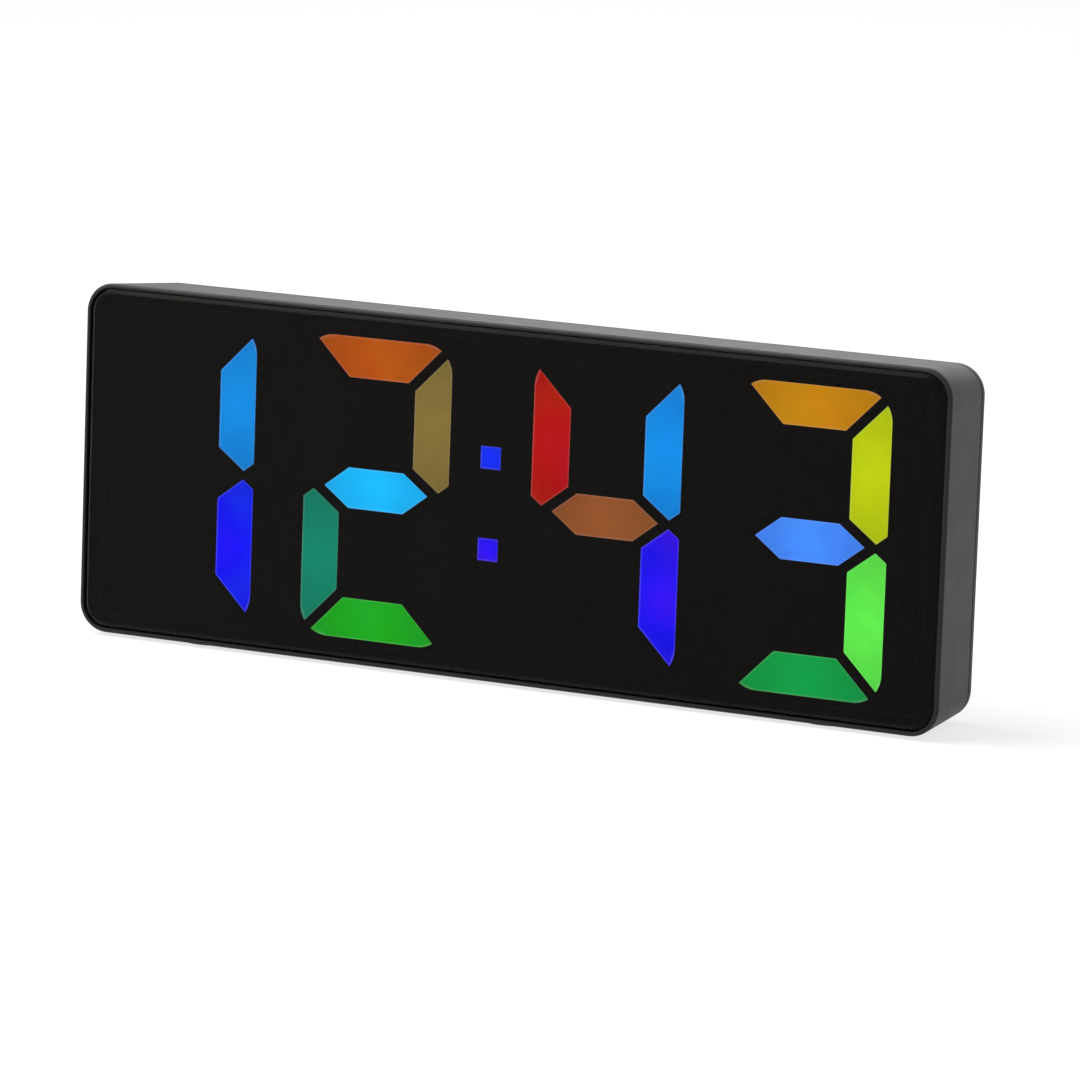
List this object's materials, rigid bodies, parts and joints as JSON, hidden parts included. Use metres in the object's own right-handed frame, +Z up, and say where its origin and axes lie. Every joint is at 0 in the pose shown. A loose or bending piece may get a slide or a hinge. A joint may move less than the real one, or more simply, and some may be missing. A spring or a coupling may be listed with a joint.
{
  "type": "digital desk clock",
  "caption": "Slim desk clock with a wide smoked lens over a coloured seven-segment display, a thin plastic case, rear push buttons, a battery door and a power socket.",
  "frame": {"origin": "under the middle of the clock, on the surface that its rubber feet stand on", "axes": "+X runs along the clock, to the right as seen from the front; -Y is the side with the display; +Z is up"},
  "size_m": [0.1598, 0.0208, 0.0606],
  "materials": {
    "smoked_acrylic": "polished smoked acrylic",
    "black_tape": "black foam tape",
    "case_plastic": "fine moulded texture, dark grey",
    "door_plastic": "fine moulded texture, dark grey",
    "foot_rubber": "matt black rubber",
    "mask_film": "matt black film",
    "reflector_plastic": "moulded black",
    "diffuser_plastic": "translucent",
    "board_laminate": "solder-masked laminate",
    "diode_body": "moulded white",
    "holder_plastic": "moulded black",
    "cell_steel": "plain steel can",
    "contact_steel": "spring steel, plated",
    "socket_steel": "plated steel shell",
    "chip_plastic": "moulded black",
    "crystal_steel": "plated steel can",
    "switch_plastic": "moulded black",
    "plunger_plastic": "moulded black",
    "button_plastic": "satin moulded black",
    "screw_steel": "black-oxide steel"
  },
  "bodies": {
    "case": {"board_screws": "screw_steel", "case_screws": "screw_steel", "cell_contact": "contact_steel", "clock_chip": "chip_plastic", "clock_crystal": "crystal_steel", "coin_cell": "cell_steel", "coin_cell_holder": "holder_plastic", "diffuser_colon_lower": "diffuser_plastic", "diffuser_colon_upper": "diffuser_plastic", "diffuser_hours_tens_a": "diffuser_plastic", "diffuser_hours_tens_b": "diffuser_plastic", "diffuser_hours_tens_c": "diffuser_plastic", "diffuser_hours_tens_d": "diffuser_plastic", "diffuser_hours_tens_e": "diffuser_plastic", "diffuser_hours_tens_f": "diffuser_plastic", "diffuser_hours_tens_g": "diffuser_plastic", "diffuser_hours_units_a": "diffuser_plastic", "diffuser_hours_units_b": "diffuser_plastic", "diffuser_hours_units_c": "diffuser_plastic", "diffuser_hours_units_d": "diffuser_plastic", "diffuser_hours_units_e": "diffuser_plastic", "diffuser_hours_units_f": "diffuser_plastic", "diffuser_hours_units_g": "diffuser_plastic", "diffuser_minutes_tens_a": "diffuser_plastic", "diffuser_minutes_tens_b": "diffuser_plastic", "diffuser_minutes_tens_c": "diffuser_plastic", "diffuser_minutes_tens_d": "diffuser_plastic", "diffuser_minutes_tens_e": "diffuser_plastic", "diffuser_minutes_tens_f": "diffuser_plastic", "diffuser_minutes_tens_g": "diffuser_plastic", "diffuser_minutes_units_a": "diffuser_plastic", "diffuser_minutes_units_b": "diffuser_plastic", "diffuser_minutes_units_c": "diffuser_plastic", "diffuser_minutes_units_d": "diffuser_plastic", "diffuser_minutes_units_e": "diffuser_plastic", "diffuser_minutes_units_f": "diffuser_plastic", "diffuser_minutes_units_g": "diffuser_plastic", "display_board": "board_laminate", "display_mask": "mask_film", "driver_chips": "chip_plastic", "front_housing": "case_plastic", "front_lens": "smoked_acrylic", "lens_tape": "black_tape", "power_socket": "socket_steel", "rear_cover": "case_plastic", "reflector_block": "reflector_plastic", "rgb_leds": "diode_body", "rubber_foot_left": "foot_rubber", "rubber_foot_right": "foot_rubber", "sounder": "chip_plastic", "tact_switches": "switch_plastic"},
    "button_set": {"button_set": "button_plastic", "switch_plunger_set": "plunger_plastic"},
    "button_alarm": {"button_alarm": "button_plastic", "switch_plunger_alarm": "plunger_plastic"},
    "button_up": {"button_up": "button_plastic", "switch_plunger_up": "plunger_plastic"},
    "button_down": {"button_down": "button_plastic", "switch_plunger_down": "plunger_plastic"},
    "battery_door": {"battery_door": "door_plastic"}
  },
  "joints": [
    {"name": "button_set_press", "type": "slide", "parent": "case", "child": "button_set", "axis": [0, -1, 0], "range_m": [0, 0.0005], "stiffness_N_per_m": 2000},
    {"name": "button_alarm_press", "type": "slide", "parent": "case", "child": "button_alarm", "axis": [0, -1, 0], "range_m": [0, 0.0005], "stiffness_N_per_m": 2000},
    {"name": "button_up_press", "type": "slide", "parent": "case", "child": "button_up", "axis": [0, -1, 0], "range_m": [0, 0.0005], "stiffness_N_per_m": 2000},
    {"name": "button_down_press", "type": "slide", "parent": "case", "child": "button_down", "axis": [0, -1, 0], "range_m": [0, 0.0005], "stiffness_N_per_m": 2000},
    {"name": "battery_door_turn", "type": "hinge", "parent": "case", "child": "battery_door", "pos_m": [-0.05995, 0.0096, 0.0306], "axis": [0, 1, 0], "range_deg": [0, 40]}
  ]
}
